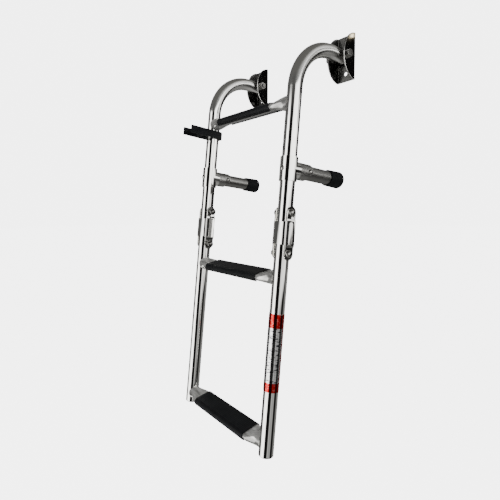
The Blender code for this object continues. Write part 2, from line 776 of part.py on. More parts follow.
def build_ladder():
    """Builds every piece in the frame of the body that it moves with."""
    transom = make_frame("transom")
    swing = make_frame("swing_axis", location=(0, -BOLT_FROM_BACK, 0), lean=-LEAN)
    upper_pivot = (0, PIVOT_BACK - HOOK_REACH, UPPER_PIVOT_Z)
    links = make_frame("upper_fold_axis", swing, upper_pivot)
    lower = make_frame("lower_fold_axis", links, (0, 0, -LINK_LENGTH))
    rails_y = -HOOK_REACH

    for side, sign in SIDES.items():
        mount = make_frame(f"{side}_bracket_place", transom, (sign * RAIL_X, 0, 0))
        make_bracket(side, mount)
        bolt_at = (0, -BOLT_FROM_BACK, 0)
        make_hex_bolt(f"{side}_swing_bolt", mount, bolt_at, sign, BRACKET_OUTSIDE)
        make_nut(f"{side}_swing_nut", mount, bolt_at, -sign, BRACKET_OUTSIDE)

        for place_name, outward in (("outer", sign), ("inner", -sign)):
            make_bush(side, place_name, mount, outward)

        make_upper_rail(side, swing)
        make_tee(side, swing)
        make_standoff(side, swing)
        make_cap(side, swing)
        make_tee_screw(side, swing)
        make_tee_bolt(side, swing)

        make_link(side, links)
        for name, z in (("upper", 0), ("lower", -LINK_LENGTH)):
            pivot_at = (sign * RAIL_X, 0, z)
            make_pivot_bolt(f"{side}_{name}_pivot_bolt", links, pivot_at, sign)
            make_cap_nut(f"{side}_{name}_pivot_nut", links, pivot_at, -sign)

        make_lower_rail(side, lower)
        make_foot_plug(side, lower)

    make_step("top", swing, rails_y, TOP_STEP_Z)
    make_step("middle", lower, -PIVOT_BACK, MIDDLE_STEP_Z - LOWER_PIVOT_Z)
    make_step("bottom", lower, -PIVOT_BACK, BOTTOM_STEP_Z - LOWER_PIVOT_Z)
    make_clip(swing)
    make_label(lower)
    bpy.context.view_layer.update()


build_ladder()
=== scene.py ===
"""Looks of the folding boat boarding ladder: mirror-polished stainless tube, black treads and caps.

Metres, in the CAD model's frame: +Y points at the boat, +X along the steps, +Z up. The upper
section is drawn upright in the swing frame (rails along Z) and then leaned, as the CAD model is.
"""

import math

import bmesh
import bpy
from mathutils import Matrix, Vector


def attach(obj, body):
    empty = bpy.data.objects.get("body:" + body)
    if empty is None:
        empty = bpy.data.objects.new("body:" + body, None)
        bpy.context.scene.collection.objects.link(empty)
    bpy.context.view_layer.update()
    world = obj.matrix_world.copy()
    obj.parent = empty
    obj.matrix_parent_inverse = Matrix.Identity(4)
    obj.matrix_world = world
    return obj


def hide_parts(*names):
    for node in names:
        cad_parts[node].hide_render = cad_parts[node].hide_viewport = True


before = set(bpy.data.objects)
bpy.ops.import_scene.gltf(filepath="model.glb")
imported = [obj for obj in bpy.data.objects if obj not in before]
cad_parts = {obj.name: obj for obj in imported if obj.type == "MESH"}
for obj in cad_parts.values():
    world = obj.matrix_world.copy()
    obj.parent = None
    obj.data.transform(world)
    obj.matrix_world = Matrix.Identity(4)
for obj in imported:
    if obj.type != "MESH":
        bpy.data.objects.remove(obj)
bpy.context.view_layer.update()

# The CAD model's own dimensions, which every piece here keeps, and those of the finer details
RAIL_X = 0.120
TUBE_RADIUS = 0.0127
TUBE_WALL = 0.0015
LEAN = math.radians(5.8)
GAP = 0.0003
HOOK_REACH = 0.1065
HOOK_RADIUS = 0.088
HOOK_END_RADIUS = 0.0132
UPPER_PIVOT_Z = -0.2965
LINK_LENGTH = 0.068
LOWER_PIVOT_Z = UPPER_PIVOT_Z - LINK_LENGTH
PIVOT_BACK = 0.0015
RAIL_END = 0.0305
RAIL_FOOT_Z = -0.699
STEP_HEIGHTS = {"top": -0.1115, "middle": -0.406, "bottom": -0.680}
STEP_TILT = math.radians(16)
STEP_WIDTH = 0.0386
STEP_THICKNESS = 0.0115
STEP_WALL = 0.0015
STEP_FLAT_X = 0.082
STEP_ROUND_X = 0.106
STEP_ROUND_TURN = math.radians(82)
STEP_END_FROM_AXIS = 0.006
TREAD_LENGTH = 0.156
TREAD_SHEET = 0.0016
TREAD_WRAP = math.radians(70)
BRACKET_HEIGHT = 0.083
BRACKET_DEPTH = 0.032
BRACKET_SHEET = 0.0025
BRACKET_INSIDE = 0.034
BRACKET_OUTSIDE = BRACKET_INSIDE + 2 * BRACKET_SHEET
BRACKET_PAINTED_SHADE_REACH = BRACKET_INSIDE / 2 + 0.8 * BRACKET_SHEET  # nearer the middle than this it is rougher, and its colour is darkened as painted shade
BOLT_FROM_BACK = 0.020
BRACKET_SCREW_Z = 0.027
BRACKET_SCREW_RADIUS = 0.0035
BOLT_RADIUS = 0.004
BUSH_RADIUS = 0.008
HEX_FLATS = 0.013
HEX_FACE_RADIUS = 0.47 * HEX_FLATS
HEX_CHAMFER_RADIUS = 0.62 * HEX_FLATS
HEX_CHAMFER = 0.0013
HEX_HEAD_HEIGHT = 0.0053
NUT_HEIGHT = 0.0065
NUT_END_WALL = 0.002  # of the links' domed nuts
BOLT_PAST_NUT = 0.0025
DOME_RADIUS = 0.0065
DOME_HEIGHT = 0.0048
RECESS_RADIUS = 0.0024
RECESS_DEPTH = 0.0022
RECESS_LENGTH = 0.006  # of its tool
CAP_NUT_SKIRT = 0.005
LINK_SHEET = 0.002
LINK_OUTSIDE = 2 * (TUBE_RADIUS + GAP + LINK_SHEET)
LINK_EAR_RADIUS = 0.0105
LINK_CORNER = 0.007
GROOVE_RADIUS = 0.0033  # of the long oval pressed into the links' ears
GROOVE_HALF = 0.0150
GROOVE_BACK = 0.0012
GROOVE_DEPTH = 0.0010
GROOVE_FLANK = 0.0013
GROOVE_SHIFT = 0.0008
GROOVE_TURN = 0.13
# The rings of the oval's tool, as (share of the depth, share of the flank). The first one stands clear
# of the ear's face, and its depth is in metres.
GROOVE_STEPS = ((-0.0005, -0.0006), (0.0, 0.0), (0.5, 0.55), (1.0, 1.0))
END_TURN = 0.080  # how much the links' ears turn in at their ends
END_EASE = 0.2
SADDLE_HEIGHT = 0.037
SADDLE_FLARE = 0.005
SADDLE_KNEE = 1.5 * LINK_SHEET
TEE_Z = -0.224
TEE_RADIUS = TUBE_RADIUS + GAP + 0.0019
TEE_HEIGHT = 0.040
TEE_SOCKET_END = 0.036
TEE_BOLT_Y = 0.038
TEE_LOBE_RADIUS = 0.0068
TEE_FASTENER_RADIUS = 0.0025
TEE_SCREW_RADIUS = 0.0043
TEE_SCREW_HEIGHT = 0.0026
TEE_CROSS_HALF = 0.0022
TEE_CROSS_HALF_WIDTH = 0.0005
TEE_CROSS_FLOOR = 0.0012
TEE_HEAD_RADIUS = 0.0045
TEE_HEAD_HEIGHT = 0.003
TEE_BOLT_PAST_TEE = 0.0055
TEE_NUT_RADIUS = 0.0046
TEE_NUT_HEIGHT = 0.004
SOCKET_START = -0.134  # where the tees' sockets leave their collars, along Y
SOCKET_BLEND = 0.003
STANDOFF_START = TUBE_RADIUS + 0.001
STANDOFF_END = 0.124
CAP_RADIUS = 0.0155
CAP_LENGTH = 0.033
CAP_END_WALL = 0.005
CAP_CORNER = 0.003
CAP_TAPER = 0.0008
CAP_LIP = 0.0006
PLUG_DEPTH = 0.012
PLUG_CORNER = 0.001
PLUG_RIM = TUBE_RADIUS - 0.0004
PLUG_SIDE = 0.0008
PLUG_LIP = 0.0006
PLUG_CROWN_RADIUS = 0.009
PLUG_CROWN = 0.0007
PLUG_TIP = 0.0001
CLIP_Z = -0.134
CLIP_HEIGHT = 0.015
CLIP_HALF_WIDTH = 0.0175
CLIP_BACK = 0.016
CLIP_CHAMFER = 0.007
CLIP_RIB = 0.003
CLIP_TIP = 0.062
CLIP_SLOT_Y = 0.0465
CLIP_SLOT_RADIUS = 0.0134
CLIP_WINDOW_X = 0.010
LABEL_TOP_Z = -0.464
LABEL_BOTTOM_Z = -0.592
LABEL_FILM = 0.0003
LABEL_ARC = math.radians(250)
LABEL_TOP_BAND = 0.023
LABEL_FOOT_BAND = 0.015
LABEL_LINE = (math.radians(12), math.radians(20))

SIDES = {"left": -1, "right": 1}
ROUND = 96  # sides of the round pieces
SMALL_ROUND = 48
HALF_ROUND = 64  # steps of the brackets' ears
BEND_STEPS = 48
CORNER_STEPS = 16
BLEND_STEPS = 12  # from a step tube's flat middle to its round end
ARC_STEPS = 24  # steps of the step tubes' and treads' edges
EDGE_STEPS = 8
LABEL_STEPS = 72

# How far edges are rounded
BRACKET_EDGE = 0.0006
BOLT_EDGE = 0.0006
BUSH_EDGE = 0.0005
TREAD_EDGE = 0.0005
TEE_EDGE = 0.0011
TEE_BOLT_EDGE = 0.0004
TEE_NUT_EDGE = 0.0003
LINK_EDGE = 0.0004
CLIP_EDGE = 0.0007
ROUNDED_TURN = math.radians(35)  # edges that turn more than this are rounded
ROUNDING_STEPS = 3

# Faces that meet at less than this are shaded as one: as made, after a cut, and on the links
SMOOTH_TURN = math.radians(40)
CUT_SMOOTH_TURN = math.radians(32)
LINK_SMOOTH_TURN = math.radians(14)
FLAT_NORMAL = 0.985  # a face of the links with at least this much of its normal along X is flat

THROUGH = 0.1  # length of a tool that goes right through a piece, and shorter ones for some pieces
TEE_THROUGH = 0.08
CLIP_THROUGH = 0.05
LINK_THROUGH = 0.05
LINK_BORE = 0.06
TRIM_HALF = 0.03  # half the width or height of the blocks that cut the tees and the clip
OVERRUN = 0.01  # how far a tube's bore is cut past its ends
CLEAR = 0.0001  # how far a tool stands off a face that it leaves alone
TOUCHING = 1e-5

# Looks: specular levels of the black plastics, their lighter clouds, and the steel's darker parts; the last
# one is painted shade inside the brackets
PLASTIC_GLOSS = 0.10
TREAD_GLOSS = 0.18
PLASTIC_CLOUDS = 1.9
CLOUDY = 0.93
STREAKED = 0.35
AS_CAST = 0.4
INSIDE_PAINTED_SHADE = 0.2
TUBE_COLOUR = (0.90, 0.895, 0.875)
SHEET_COLOUR = (0.80, 0.795, 0.77)

# Places of the bodies' own drawing frames
SWING = Matrix.Translation((0, -BOLT_FROM_BACK, 0)) @ Matrix.Rotation(-LEAN, 4, "X")
UPRIGHT = Matrix.Identity(4)


# Node helpers


def new_material(name):
    """An empty node material: its tree, its shader and its object-space coordinates."""
    material = bpy.data.materials.new(name)
    material.use_nodes = True
    tree = material.node_tree
    shader = tree.nodes["Principled BSDF"]
    coords = tree.nodes.new("ShaderNodeTexCoord").outputs["Object"]
    return material, tree, shader, coords


def add(tree, kind, inputs=None, **settings):
    """A node with its settings, and its inputs set to values or linked to sockets."""
    node = tree.nodes.new(kind)
    for key, value in settings.items():
        setattr(node, key, value)
    for key, value in (inputs or {}).items():
        if isinstance(value, bpy.types.NodeSocket):
            tree.links.new(value, node.inputs[key])
        else:
            node.inputs[key].default_value = value
    return node


def calc(tree, operation, first, second=0.0):
    """A sum of two sockets or numbers, or another operation on them."""
    return add(tree, "ShaderNodeMath", {0: first, 1: second}, operation=operation).outputs[0]


def noise(tree, coords, scale, detail, stretch=(1, 1, 1)):
    """Noise at that scale, stretched by squeezing the coordinates."""
    mapped = add(tree, "ShaderNodeMapping", {"Vector": coords, "Scale": stretch})
    inputs = {"Vector": mapped.outputs[0], "Scale": scale, "Detail": detail}
    return add(tree, "ShaderNodeTexNoise", inputs).outputs["Fac"]


def spread(tree, value, low, high, from_low=0.3, from_high=0.7):
    """A noise value mapped into a range."""
    inputs = {"Value": value, "From Min": from_low, "From Max": from_high, "To Min": low, "To Max": high}
    return add(tree, "ShaderNodeMapRange", inputs).outputs["Result"]


def bump(tree, shader, height, strength, distance):
    """Bumps the shader's normal by a height."""
    node = add(tree, "ShaderNodeBump", {"Height": height, "Strength": strength, "Distance": distance})
    tree.links.new(node.outputs["Normal"], shader.inputs["Normal"])


def mix_colours(tree, factor, first, second):
    """A blend of two colours."""
    node = add(tree, "ShaderNodeMix", data_type="RGBA")
    tree.links.new(factor, node.inputs["Factor"])
    for socket, value in ((node.inputs[6], first), (node.inputs[7], second)):
        if isinstance(value, bpy.types.NodeSocket):
            tree.links.new(value, socket)
        else:
            socket.default_value = (*value, 1.0)
    return node.outputs[2]


def shade(colour, factor):
    """A colour times a factor."""
    return tuple(factor * part for part in colour)


def make_steel(
    name, low, high, colour, scratches, metal=1.0, streaked=False, bend=0.0, socket=0.0, inside=0.0
):
    """Stainless steel: faint cloudy polish, drawn scratches and slightly uneven roughness. It can be
    streaked along X; with bend set, the hooks' bends are less polished; with socket set, the tees'
    sockets are as cast; with inside set, the brackets' insides and rims are rougher, and their colour
    is darkened as painted shade."""
    material, tree, shader, coords = new_material(name)
    if streaked:
        cloud = noise(tree, coords, scale=150.0, detail=3.0, stretch=(0.1, 1.0, 1.0))
    else:
        cloud = noise(tree, coords, scale=35.0, detail=3.0)
    scratch = noise(tree, coords, scale=260.0, detail=6.0, stretch=(1.0, 1.0, 0.05))
    dark = shade(colour, STREAKED if streaked else CLOUDY)
    tint = mix_colours(tree, spread(tree, cloud, 0.0, 1.0), colour, dark)
    parts = add(tree, "ShaderNodeSeparateXYZ", {0: coords}).outputs
    rough = calc(tree, "ADD", spread(tree, cloud, low, high), spread(tree, scratch, 0.0, scratches))
    if bend:
        satin = spread(tree, parts["Z"], 0.0, bend, -HOOK_RADIUS, -HOOK_RADIUS / 3)
        rough = calc(tree, "ADD", rough, satin)
    if socket:
        behind = spread(tree, parts["Y"], 0.0, 1.0, SOCKET_START, SOCKET_START + SOCKET_BLEND)
        tint = mix_colours(tree, behind, tint, shade(colour, AS_CAST))
        rough = calc(tree, "ADD", rough, spread(tree, behind, 0.0, socket, 0.0, 1.0))
    # Painted shade: the brackets' insides and rims are darkened in colour, and also made rougher
    if inside:
        from_rail = calc(tree, "SUBTRACT", calc(tree, "ABSOLUTE", parts["X"]), RAIL_X)
        painted_shade = calc(tree, "LESS_THAN", calc(tree, "ABSOLUTE", from_rail), BRACKET_PAINTED_SHADE_REACH)
        tint = mix_colours(tree, painted_shade, tint, shade(colour, INSIDE_PAINTED_SHADE))
        rough = calc(tree, "ADD", rough, spread(tree, painted_shade, 0.0, inside, 0.0, 1.0))
    tree.links.new(tint, shader.inputs["Base Color"])
    shader.inputs["Metallic"].default_value = metal
    tree.links.new(rough, shader.inputs["Roughness"])
    bump(tree, shader, scratch, strength=0.01, distance=0.0002)
    return material


def make_tread_rubber():
    """The treads' moulded black plastic: rows of fine ribs along the step and a matte grain."""
    material, tree, shader, coords = new_material("tread_plastic")
    ribs = add(tree, "ShaderNodeTexWave", {"Vector": coords, "Scale": 95.0}, bands_direction="Y")
    grain = noise(tree, coords, scale=1400.0, detail=3.0)
    worn = noise(tree, coords, scale=45.0, detail=5.0)
    tint = mix_colours(tree, spread(tree, worn, 0.0, 1.0), (0.004, 0.0045, 0.0055), (0.008, 0.0085, 0.0095))
    tree.links.new(tint, shader.inputs["Base Color"])
    tree.links.new(spread(tree, grain, 0.36, 0.52), shader.inputs["Roughness"])
    shader.inputs["Specular IOR Level"].default_value = TREAD_GLOSS
    height = calc(tree, "ADD", ribs.outputs["Fac"], grain)
    bump(tree, shader, height, strength=0.35, distance=0.0003)
    return material


def make_black(name, roughness, grain_scale, colour):
    """A moulded black with a fine grain and slight shifts of shade."""
    material, tree, shader, coords = new_material(name)
    grain = noise(tree, coords, grain_scale, detail=4.0)
    cloud = noise(tree, coords, scale=60.0, detail=3.0)
    tint = mix_colours(tree, spread(tree, cloud, 0.0, 1.0), colour, shade(colour, PLASTIC_CLOUDS))
    tree.links.new(tint, shader.inputs["Base Color"])
    tree.links.new(spread(tree, grain, roughness - 0.08, roughness + 0.1), shader.inputs["Roughness"])
    shader.inputs["Specular IOR Level"].default_value = PLASTIC_GLOSS
    bump(tree, shader, grain, strength=0.25, distance=0.0002)
    return material


def band(tree, height, low, high):
    """1 between two values, else 0."""
    above = calc(tree, "GREATER_THAN", height, low)
    below = calc(tree, "LESS_THAN", height, high)
    return calc(tree, "MULTIPLY", above, below)


def make_label_print():
    """A generic mirror film with no lettering: red bands at both ends, rows of dark print streaks
    between them, and a thin red line up its right edge."""
    material, tree, shader, coords = new_material("label_print")
    parts = add(tree, "ShaderNodeSeparateXYZ", {0: coords}).outputs
    half = (LABEL_TOP_Z - LABEL_BOTTOM_Z) / 2
    top = band(tree, parts["Z"], half - LABEL_TOP_BAND, half)
    foot = band(tree, parts["Z"], -half, LABEL_FOOT_BAND - half)
    ends = calc(tree, "MAXIMUM", top, foot)
    line = band(tree, calc(tree, "ARCTAN2", parts["Y"], parts["X"]), *LABEL_LINE)
    rows = noise(tree, coords, scale=420.0, detail=3.0, stretch=(0.35, 0.35, 1.5))
    streaks = spread(tree, rows, 0.0, 1.0, 0.40, 0.47)
    middle = mix_colours(tree, streaks, (0.06, 0.062, 0.08), (0.80, 0.80, 0.80))
    flecks = noise(tree, coords, scale=520.0, detail=2.0, stretch=(0.6, 0.6, 1.0))
    worn = spread(tree, flecks, 0.0, 1.0, 0.57, 0.66)
    red = mix_colours(tree, worn, (0.50, 0.012, 0.012), (0.62, 0.20, 0.19))
    tint = mix_colours(tree, calc(tree, "MAXIMUM", ends, line), middle, red)
    tree.links.new(tint, shader.inputs["Base Color"])
    shader.inputs["Metallic"].default_value = 0.98
    tree.links.new(spread(tree, rows, 0.05, 0.12), shader.inputs["Roughness"])
    return material


POLISHED = make_steel("mirror_stainless", 0.02, 0.045, TUBE_COLOUR, 0.02)
HOOKED = make_steel("hook_stainless", 0.02, 0.045, TUBE_COLOUR, 0.02, bend=0.17)
CAST = make_steel("satin_stainless", 0.28, 0.36, (0.27, 0.268, 0.258), 0.06)
# Its insides and rims carry painted shade
BRACKET_STEEL = make_steel("bracket_stainless", 0.02, 0.05, SHEET_COLOUR, 0.02, inside=0.26)
PRESSED = make_steel("pressed_stainless", 0.02, 0.05, SHEET_COLOUR, 0.02)
STEP_STEEL = make_steel("step_stainless", 0.08, 0.16, (0.62, 0.617, 0.60), 0.04, 0.6, True)
FASTENER = make_steel("fastener_stainless", 0.14, 0.24, (0.30, 0.296, 0.285), 0.05)
NUT_STEEL = make_steel("nut_stainless", 0.14, 0.24, (0.12, 0.118, 0.115), 0.05)
TEE_STEEL = make_steel("tee_stainless", 0.02, 0.05, (0.84, 0.835, 0.81), 0.02, socket=0.30)
TREAD = make_tread_rubber()
CLIP_PLASTIC = make_black("clip_plastic", 0.36, 900.0, (0.005, 0.0055, 0.0065))
CAP_RUBBER = make_black("cap_rubber", 0.55, 1100.0, (0.004, 0.0045, 0.005))
LABEL = make_label_print()


# Mesh helpers


def link(name, bm, material):
    """An object from a bmesh, with round faces smooth."""
    bmesh.ops.recalc_face_normals(bm, faces=bm.faces)
    mesh = bpy.data.meshes.new(name)
    bm.to_mesh(mesh)
    bm.free()
    mesh.materials.append(material)
    mesh.shade_smooth()
    mesh.set_sharp_from_angle(angle=SMOOTH_TURN)
    obj = bpy.data.objects.new(name, mesh)
    bpy.context.scene.collection.objects.link(obj)
    return obj


def arc(centre, radius, start, end, steps):
    """Points of an arc in a plane, with angles in radians."""
    turns = [start + (end - start) * i / steps for i in range(steps + 1)]
    return [(centre[0] + radius * math.cos(t), centre[1] + radius * math.sin(t)) for t in turns]


def bevel(obj, width):
    """Rounds an object's sharp edges."""
    modifier = obj.modifiers.new("round", "BEVEL")
    modifier.width = width
    modifier.segments = ROUNDING_STEPS
    modifier.limit_method = "ANGLE"
    modifier.angle_limit = ROUNDED_TURN
    modifier.harden_normals = True
    return obj


def apply_modifiers(obj):
    """Turns an object's modifiers into its mesh, and removes the cutters that they used."""
    cutters = [m.object for m in obj.modifiers if m.type == "BOOLEAN"]
    bpy.context.view_layer.update()
    evaluated = obj.evaluated_get(bpy.context.evaluated_depsgraph_get())
    mesh = bpy.data.meshes.new_from_object(evaluated)
    obj.modifiers.clear()
    obj.data = mesh
    for cutter in cutters:
        bpy.data.objects.remove(cutter, do_unlink=True)
    mesh.shade_smooth()
    mesh.set_sharp_from_angle(angle=CUT_SMOOTH_TURN)
    return obj


def cut(obj, cutter, operation="DIFFERENCE"):
    """Cuts or joins another object, which is used up."""
    modifier = obj.modifiers.new("cut", "BOOLEAN")
    modifier.operation = operation
    modifier.object = cutter
    return apply_modifiers(obj)


def loft(name, rings, material):
    """A closed skin over rings of points that all have the same count."""
    bm = bmesh.new()
    made = [[bm.verts.new(point) for point in ring] for ring in rings]
    count = len(rings[0])
    for first, second in zip(made, made[1:]):
        for i in range(count):
            j = (i + 1) % count
            bm.faces.new((first[i], first[j], second[j], second[i]))
    bm.faces.new(made[0])
    bm.faces.new(made[-1][::-1])
    return link(name, bm, material)


def sweep(name, path, radius, material):
    """A round bar along a path in the YZ plane, given as (y, z) points."""
    rings = []
    for i, (y, z) in enumerate(path):
        before, after = path[max(i - 1, 0)], path[min(i + 1, len(path) - 1)]
        along = Vector((0, after[0] - before[0], after[1] - before[1])).normalized()
        across = Vector((1, 0, 0))
        up = along.cross(across)
        turns = [2 * math.pi * k / ROUND for k in range(ROUND)]
        ring = [Vector((0, y, z)) + radius * (across * math.cos(t) + up * math.sin(t)) for t in turns]
        rings.append(ring)
    return loft(name, rings, material)


AXIS_TURNS = {
    "X": Matrix.Rotation(math.pi / 2, 4, "Y"),
    "Y": Matrix.Rotation(-math.pi / 2, 4, "X"),
    "Z": Matrix.Identity(4),
}


def lathe(name, profile, axis, material, sides=SMALL_ROUND):
    """A solid of revolution from (radius, height) points. A radius of 0 closes an end."""
    bm = bmesh.new()
    turns = [2 * math.pi * i / sides for i in range(sides)]
    rings = []
    for radius, height in profile:
        if radius == 0:
            rings.append([bm.verts.new((0, 0, height))])
        else:
            points = [(radius * math.cos(t), radius * math.sin(t), height) for t in turns]
            rings.append([bm.verts.new(point) for point in points])
    for first, second in zip(rings, rings[1:]):
        for i in range(sides):
            j = (i + 1) % sides
            corners = [first[i % len(first)], first[j % len(first)]]
            corners += [second[j % len(second)], second[i % len(second)]]
            bm.faces.new(list(dict.fromkeys(corners)))
    bm.transform(AXIS_TURNS[axis])
    return link(name, bm, material)


def rod(name, radius, length, axis, centre=(0, 0, 0), sides=SMALL_ROUND, edge=0.0, material=POLISHED):
    """A round bar with softened ends."""
    half = length / 2
    profile = [(0, half), (radius - edge, half), (radius, half - edge)]
    profile += [(radius, edge - half), (radius - edge, -half), (0, -half)]
    obj = lathe(name, profile, axis, material, sides)
    obj.data.transform(Matrix.Translation(centre))
    return obj


def prism(name, outline, length, axis, material):
    """A flat outline drawn out, centred: (y, z) along X, or (x, y) along Z."""
    bm = bmesh.new()
    ends = []
    for end in (-length / 2, length / 2):
        points = [(end, a, b) if axis == "X" else (a, b, end) for a, b in outline]
        ends.append([bm.verts.new(point) for point in points])
    for i in range(len(outline)):
        j = (i + 1) % len(outline)
        bm.faces.new((ends[0][i], ends[0][j], ends[1][j], ends[1][i]))
    bm.faces.new(ends[0])
    bm.faces.new(ends[1][::-1])
    return link(name, bm, material)


def block(name, low, high, material=POLISHED):
    """A box between two corners, as a tool for cutting."""
    outline = [(low[1], low[2]), (high[1], low[2]), (high[1], high[2]), (low[1], high[2])]
    obj = prism(name, outline, high[0] - low[0], "X", material)
    obj.data.transform(Matrix.Translation(((low[0] + high[0]) / 2, 0, 0)))
    return obj


def hull_outline(discs):
    """The outline of a sheet stretched round discs, each (y, z, radius)."""
    points = []
    for y, z, radius in discs:
        points += arc((y, z), radius, 0, 2 * math.pi, SMALL_ROUND)[:-1]
    points = sorted({(round(y, 7), round(z, 7)) for y, z in points})

    def turn(a, b, c):
        return (b[0] - a[0]) * (c[1] - a[1]) - (b[1] - a[1]) * (c[0] - a[0])

    def chain(candidates):
        kept = []
        for point in candidates:
            while len(kept) > 1 and turn(kept[-2], kept[-1], point) <= 1e-11:
                kept.pop()
            kept.append(point)
        return kept[:-1]

    return chain(points) + chain(points[::-1])


def finish_piece(obj, place, body, nodes, slot):
    """Puts a piece where its CAD node is, on its body, and lets it stand for the node."""
    obj.data.transform(place)
    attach(obj, body)
    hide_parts(*nodes)
    return obj


def at(x, y, z, base=SWING):
    """A place in a body's drawing frame."""
    return base @ Matrix.Translation((x, y, z))


STEEL, PLASTIC, RUBBER, FILM = "polished_stainless", "black_plastic", "black_rubber", "label_film"


# Brackets and their bolts


def make_bracket(side):
    """A folded channel, with half-oval ears and two screw holes in its back."""
    round_ear = arc((0, 0), 1, math.pi / 2, 3 * math.pi / 2, HALF_ROUND)
    outline = [(BRACKET_DEPTH * y, BRACKET_HEIGHT / 2 * z) for y, z in round_ear]
    bracket = prism(f"{side}_bracket_visual", outline, BRACKET_OUTSIDE, "X", BRACKET_STEEL)
    half = BRACKET_INSIDE / 2
    channel = block("channel", (-half, -THROUGH, -THROUGH), (half, -BRACKET_SHEET, THROUGH), BRACKET_STEEL)
    cut(bracket, channel)
    cut(bracket, rod("hole", BOLT_RADIUS + GAP, THROUGH, "X", (0, -BOLT_FROM_BACK, 0)))
    for z in (BRACKET_SCREW_Z, -BRACKET_SCREW_Z):
        cut(bracket, rod("hole", BRACKET_SCREW_RADIUS, THROUGH, "Y", (0, 0, z)))
    bevel(bracket, BRACKET_EDGE)
    place = at(SIDES[side] * RAIL_X, 0, 0, UPRIGHT)
    return finish_piece(bracket, place, "brackets", [f"{side}_bracket"], STEEL)


def hexagon(height):
    """A hex prism along X with the round chamfer of a bolt head on one end."""
    head = rod("hex", HEX_FLATS / math.sqrt(3), height, "X", sides=6)
    end = height / 2 + CLEAR
    profile = [(0, end), (HEX_FACE_RADIUS, end), (HEX_CHAMFER_RADIUS, height / 2 - HEX_CHAMFER)]
    profile += [(HEX_CHAMFER_RADIUS, -end), (0, -end)]
    cut(head, lathe("chamfer", profile, "X", FASTENER), "INTERSECT")
    head.data.materials.clear()
    head.data.materials.append(FASTENER)
    return head


def make_swing_bolt(side):
    """The bolt, its nut and its two bushes."""
    sign = SIDES[side]
    x = sign * RAIL_X
    grip = BRACKET_OUTSIDE
    place = at(x, -BOLT_FROM_BACK, 0, UPRIGHT)
    turn = place if sign > 0 else place @ Matrix.Rotation(math.pi, 4, "Z")

    head = hexagon(HEX_HEAD_HEIGHT)
    head.data.transform(Matrix.Translation((grip / 2 + GAP + HEX_HEAD_HEIGHT / 2, 0, 0)))
    length = grip + GAP + NUT_HEIGHT + BOLT_PAST_NUT
    middle = grip / 2 + GAP - length / 2
    shank = rod("shank", BOLT_RADIUS, length, "X", (middle, 0, 0), edge=BOLT_EDGE, material=FASTENER)
    bolt = cut(head, shank, "UNION")
    bolt.name = f"{side}_swing_bolt_visual"
    finish_piece(bolt, turn, "brackets", [f"{side}_swing_bolt"], STEEL)

    nut = hexagon(NUT_HEIGHT)
    cut(nut, rod("bore", BOLT_RADIUS + GAP, THROUGH, "X"))
    nut.name = f"{side}_swing_nut_visual"
    nut.data.transform(Matrix.Translation((-(grip / 2 + GAP + NUT_HEIGHT / 2), 0, 0)))
    finish_piece(nut, turn, "brackets", [f"{side}_swing_nut"], STEEL)

    start = TUBE_RADIUS + GAP
    length = BRACKET_INSIDE / 2 - GAP - start
    for name, outward in (("outer", sign), ("inner", -sign)):
        bush = rod(f"{side}_{name}_bush_visual", BUSH_RADIUS, length, "X", edge=BUSH_EDGE, material=CAST)
        cut(bush, rod("bore", BOLT_RADIUS + GAP, THROUGH, "X"))
        bush.data.transform(Matrix.Translation((outward * (start + length / 2), 0, 0)))
        finish_piece(bush, place, "brackets", [f"{side}_{name}_bush"], STEEL)


# Rails


def make_upper_rail(side):
    """A rail that hooks over into its bracket, with its rear end rounded about the bolt."""
    centre = (HOOK_RADIUS - HOOK_REACH, -HOOK_RADIUS)
    bend = arc(centre, HOOK_RADIUS, math.pi, math.pi / 2, BEND_STEPS)
    foot, end = UPPER_PIVOT_Z - RAIL_END, HOOK_END_RADIUS + TUBE_WALL
    path = [(-HOOK_REACH, foot), *bend, (end, 0)]
    rail = sweep(f"{side}_upper_rail_visual", path, TUBE_RADIUS, HOOKED)
    path = [(-HOOK_REACH, foot - OVERRUN), *bend, (end + OVERRUN, 0)]
    cut(rail, sweep("bore", path, TUBE_RADIUS - TUBE_WALL, HOOKED))
    half = THROUGH / 2
    trim = block("trim", (-half, 0, -half), (half, half, half))
    cut(trim, rod("kept", HOOK_END_RADIUS, 2 * THROUGH, "X", sides=ROUND))
    cut(rail, trim)
    return finish_piece(rail, at(SIDES[side] * RAIL_X, 0, 0), "upper_frame", [f"{side}_upper_rail"], STEEL)


def make_lower_rail(side):
    """A straight rail, open at the top and closed by a plug at the foot."""
    top = LOWER_PIVOT_Z + RAIL_END
    rail = sweep(f"{side}_lower_rail_visual", [(0, RAIL_FOOT_Z), (0, top)], TUBE_RADIUS, POLISHED)
    path = [(0, RAIL_FOOT_Z - OVERRUN), (0, top + OVERRUN)]
    cut(rail, sweep("bore", path, TUBE_RADIUS - TUBE_WALL, POLISHED))
    place = at(SIDES[side] * RAIL_X, -HOOK_REACH, 0)
    return finish_piece(rail, place, "lower_frame", [f"{side}_lower_rail"], STEEL)


